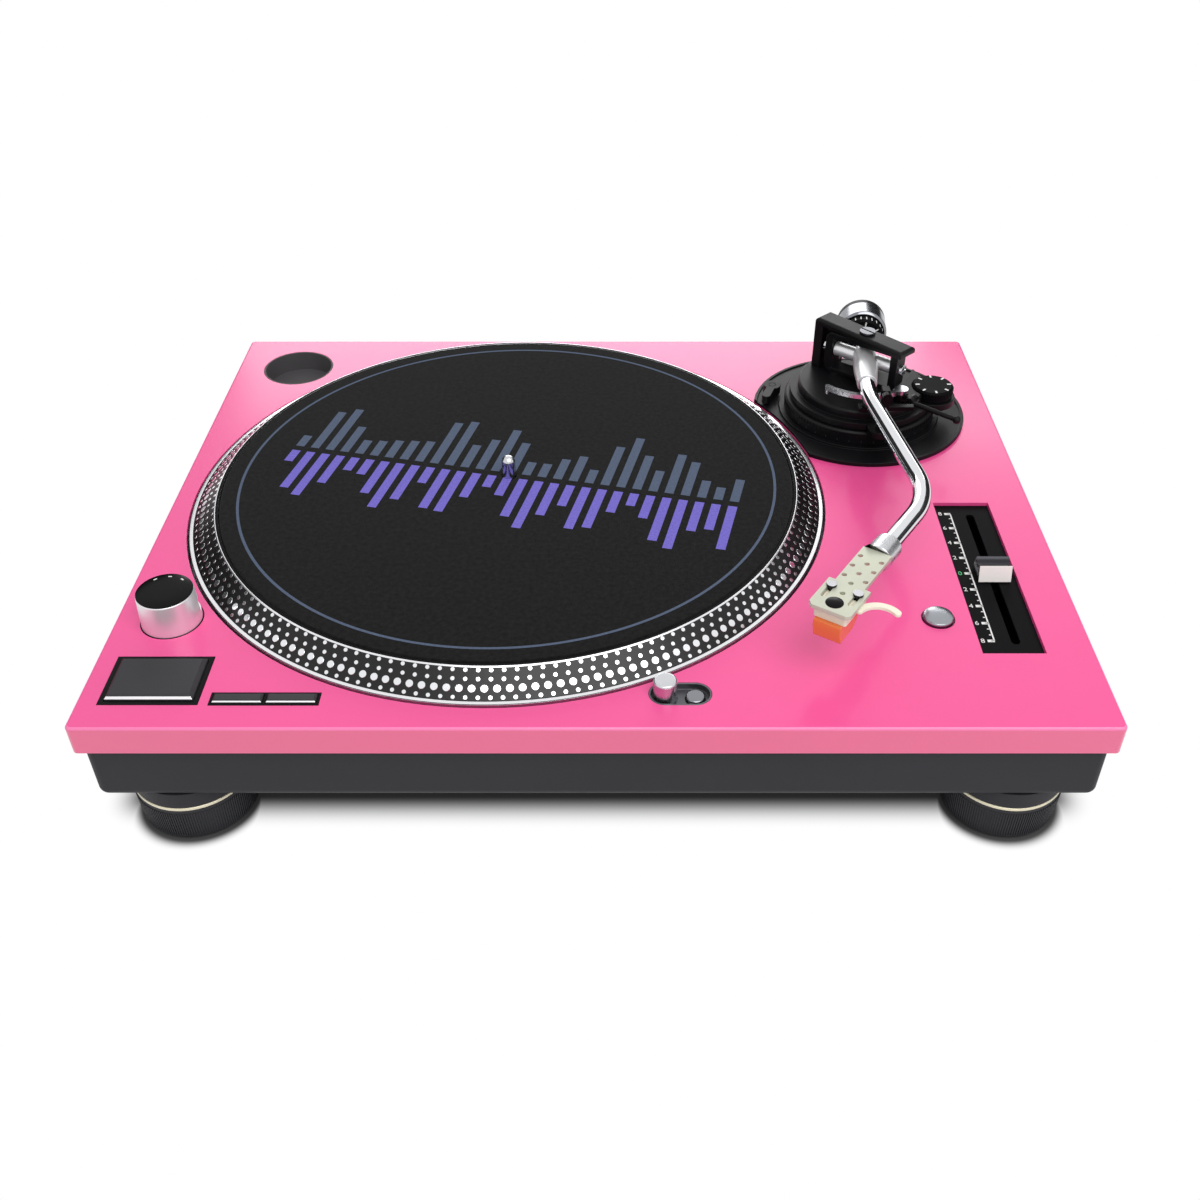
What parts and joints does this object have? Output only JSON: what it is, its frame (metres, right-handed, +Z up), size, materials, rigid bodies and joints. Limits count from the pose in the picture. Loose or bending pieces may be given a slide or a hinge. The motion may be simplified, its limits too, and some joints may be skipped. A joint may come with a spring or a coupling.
{
  "type": "turntable record player",
  "caption": "Direct-drive record deck with a pressed pink top, dotted platter, felt mat, S-shaped gimbal tonearm, pitch fader, pop-up lamp and adjustable feet.",
  "frame": {"origin": "on the surface under the feet, below the middle of the deck", "axes": "+X to the right along the long side, +Y to the back, +Z up along the spindle"},
  "size_m": [0.453, 0.353, 0.1267],
  "materials": {
    "deck_paint": "gloss",
    "cast_frame": "as cast",
    "base_rubber": "matt moulded",
    "foot_rubber": "matt ribbed",
    "platter_metal": "black with bright dots",
    "felt": "felt",
    "bright_steel": "turned",
    "chrome": "polished",
    "copper": "enamelled wire",
    "lamination": "stamped",
    "magnet": "ground",
    "board": "solder mask",
    "black_satin": "satin",
    "black_gloss": "gloss",
    "black_metal": "black anodised",
    "silver_metal": "satin",
    "red_lens": "clear",
    "shell_metal": "satin",
    "cream_metal": "satin",
    "cream_plastic": "gloss",
    "orange_plastic": "gloss",
    "grey_rubber": "matt"
  },
  "bodies": {
    "cabinet": {"deck_plate": "deck_paint", "chassis": "cast_frame", "base_tub": "base_rubber", "main_bearing": "bright_steel", "stator_core": "lamination", "stator_coils": "copper", "power_transformer": "lamination", "drive_board": "board", "switch_board": "board", "adaptor_cup": "black_satin", "start_bezel": "black_gloss", "speed_bezel": "black_gloss", "strobe_tower": "black_gloss", "strobe_lens": "red_lens", "lamp_bezel": "black_satin", "pitch_panel": "black_satin", "arm_base": "black_metal", "cable_glands": "grey_rubber"},
    "platter": {"platter": "platter_metal", "rotor_magnet": "magnet", "spindle": "bright_steel"},
    "slipmat": {"slipmat": "felt"},
    "start_button": {"start_button": "black_satin"},
    "speed_button_33": {"speed_button_33": "black_satin"},
    "speed_button_45": {"speed_button_45": "black_satin"},
    "power_knob": {"power_knob": "silver_metal"},
    "target_lamp": {"target_lamp": "silver_metal"},
    "lamp_release": {"lamp_release": "silver_metal"},
    "reset_button": {"reset_button": "silver_metal"},
    "pitch_slider": {"pitch_carriage": "black_satin", "pitch_knob": "silver_metal"},
    "height_ring": {"height_ring": "black_metal"},
    "height_lock": {"height_lock": "black_metal"},
    "arm_platform": {"arm_platform": "black_metal", "bearing_bridge": "black_metal", "pivot_screw": "bright_steel", "cue_post": "black_gloss", "arm_rest": "black_gloss"},
    "antiskate_knob": {"antiskate_knob": "black_satin"},
    "cue_lever": {"cue_lever": "black_metal"},
    "cue_lift": {"cue_lift": "chrome"},
    "arm_clamp": {"arm_clamp": "black_gloss"},
    "gimbal": {"gimbal_ring": "black_metal", "tilt_screws": "bright_steel"},
    "tonearm": {"arm_pivot": "chrome", "arm_tube": "chrome", "headshell": "shell_metal", "finger_lift": "cream_metal", "cartridge_body": "cream_plastic", "cartridge_screws": "black_metal", "stylus": "orange_plastic"},
    "lock_collar": {"lock_collar": "silver_metal"},
    "weight_bush": {"weight_bush": "chrome"},
    "counterweight": {"counterweight": "chrome", "force_dial": "black_satin"},
    "foot_front_left": {"foot_front_left": "foot_rubber"},
    "foot_front_right": {"foot_front_right": "foot_rubber"},
    "foot_rear_left": {"foot_rear_left": "foot_rubber"},
    "foot_rear_right": {"foot_rear_right": "foot_rubber"}
  },
  "joints": [
    {"name": "platter_spin", "type": "hinge", "parent": "cabinet", "child": "platter", "pos_m": [-0.04891, 0.0033, 0.0831], "axis": [0, 0, 1], "continuous": true},
    {"name": "slipmat_slip", "type": "hinge", "parent": "platter", "child": "slipmat", "pos_m": [-0.04891, 0.0033, 0.0833], "axis": [0, 0, 1], "continuous": true},
    {"name": "start_press", "type": "slide", "parent": "cabinet", "child": "start_button", "axis": [0, 0, -1], "range_m": [0, 0.0025], "stiffness_N_per_m": 400, "springref_m": -0.002},
    {"name": "speed_33_press", "type": "slide", "parent": "cabinet", "child": "speed_button_33", "axis": [0, 0, -1], "range_m": [0, 0.0015], "stiffness_N_per_m": 300, "springref_m": -0.002},
    {"name": "speed_45_press", "type": "slide", "parent": "cabinet", "child": "speed_button_45", "axis": [0, 0, -1], "range_m": [0, 0.0015], "stiffness_N_per_m": 300, "springref_m": -0.002},
    {"name": "power_turn", "type": "hinge", "parent": "cabinet", "child": "power_knob", "pos_m": [-0.20001, -0.1035, 0.075], "axis": [0, 0, 1], "range_deg": [0, 40]},
    {"name": "lamp_rise", "type": "slide", "parent": "cabinet", "child": "target_lamp", "axis": [0, 0, 1], "range_m": [0, 0.019]},
    {"name": "release_press", "type": "slide", "parent": "cabinet", "child": "lamp_release", "axis": [0, 0, -1], "range_m": [0, 0.0015], "stiffness_N_per_m": 300, "springref_m": -0.002},
    {"name": "reset_press", "type": "slide", "parent": "cabinet", "child": "reset_button", "axis": [0, 0, -1], "range_m": [0, 0.0015], "stiffness_N_per_m": 300, "springref_m": -0.002},
    {"name": "pitch_slide", "type": "slide", "parent": "cabinet", "child": "pitch_slider", "axis": [0, 1, 0], "range_m": [-0.048, 0.048]},
    {"name": "height_turn", "type": "hinge", "parent": "cabinet", "child": "height_ring", "pos_m": [0.14861, 0.0882, 0.078], "axis": [0, 0, 1], "range_deg": [0, 270]},
    {"name": "arm_height", "type": "slide", "parent": "cabinet", "child": "arm_platform", "axis": [0, 0, 1], "range_m": [0, 0.006]},
    {"name": "height_lock_turn", "type": "hinge", "parent": "cabinet", "child": "height_lock", "pos_m": [0.09975, 0.10599, 0.0777], "axis": [0, 0, -1], "range_deg": [0, 40]},
    {"name": "antiskate_turn", "type": "hinge", "parent": "arm_platform", "child": "antiskate_knob", "pos_m": [0.18861, 0.08122, 0.0901], "axis": [0, 0, 1], "range_deg": [0, 270]},
    {"name": "cue_lever_turn", "type": "hinge", "parent": "arm_platform", "child": "cue_lever", "pos_m": [0.17329, 0.06074, 0.0981], "axis": [-0.6561, -0.7547, 0], "range_deg": [0, 45]},
    {"name": "cue_lift_rise", "type": "slide", "parent": "arm_platform", "child": "cue_lift", "axis": [0, 0, 1], "range_m": [0, 0.001]},
    {"name": "clamp_turn", "type": "hinge", "parent": "arm_platform", "child": "arm_clamp", "pos_m": [0.15354, 0.04111, 0.1115], "axis": [0, -1, 0], "range_deg": [0, 180]},
    {"name": "arm_swing", "type": "hinge", "parent": "arm_platform", "child": "gimbal", "pos_m": [0.14861, 0.0882, 0.11], "axis": [0, 0, -1], "range_deg": [0, 42]},
    {"name": "arm_tilt", "type": "hinge", "parent": "gimbal", "child": "tonearm", "pos_m": [0.14861, 0.0882, 0.11], "axis": [-0.7859, 0.6184, 0], "range_deg": [-1.9, 10]},
    {"name": "collar_turn", "type": "hinge", "parent": "tonearm", "child": "lock_collar", "pos_m": [0.1259, -0.10386, 0.11], "axis": [-0.5476, -0.8368, 0], "range_deg": [0, 120]},
    {"name": "weight_travel", "type": "slide", "parent": "tonearm", "child": "weight_bush", "axis": [0.0958, 0.9954, 0], "range_m": [-0.006, 0.006]},
    {"name": "weight_turn", "type": "hinge", "parent": "weight_bush", "child": "counterweight", "pos_m": [0.14861, 0.0882, 0.11], "axis": [0.0958, 0.9954, 0], "range_deg": [-720, 720]},
    {"name": "foot_front_left_turn", "type": "hinge", "parent": "cabinet", "child": "foot_front_left", "pos_m": [-0.19001, -0.146, 0.029], "axis": [0, 0, 1], "range_deg": [-360, 360]},
    {"name": "foot_front_right_turn", "type": "hinge", "parent": "cabinet", "child": "foot_front_right", "pos_m": [0.19001, -0.146, 0.029], "axis": [0, 0, 1], "range_deg": [-360, 360]},
    {"name": "foot_rear_left_turn", "type": "hinge", "parent": "cabinet", "child": "foot_rear_left", "pos_m": [-0.19001, 0.146, 0.029], "axis": [0, 0, 1], "range_deg": [-360, 360]},
    {"name": "foot_rear_right_turn", "type": "hinge", "parent": "cabinet", "child": "foot_rear_right", "pos_m": [0.19001, 0.146, 0.029], "axis": [0, 0, 1], "range_deg": [-360, 360]}
  ],
  "couplings": [
    {"joint": "height_turn", "follows": "arm_height", "rad_per_m": 785.4},
    {"joint": "cue_lever_turn", "follows": "cue_lift_rise", "rad_per_m": 785.4},
    {"joint": "weight_turn", "follows": "weight_travel", "rad_per_m": 2094.4}
  ]
}
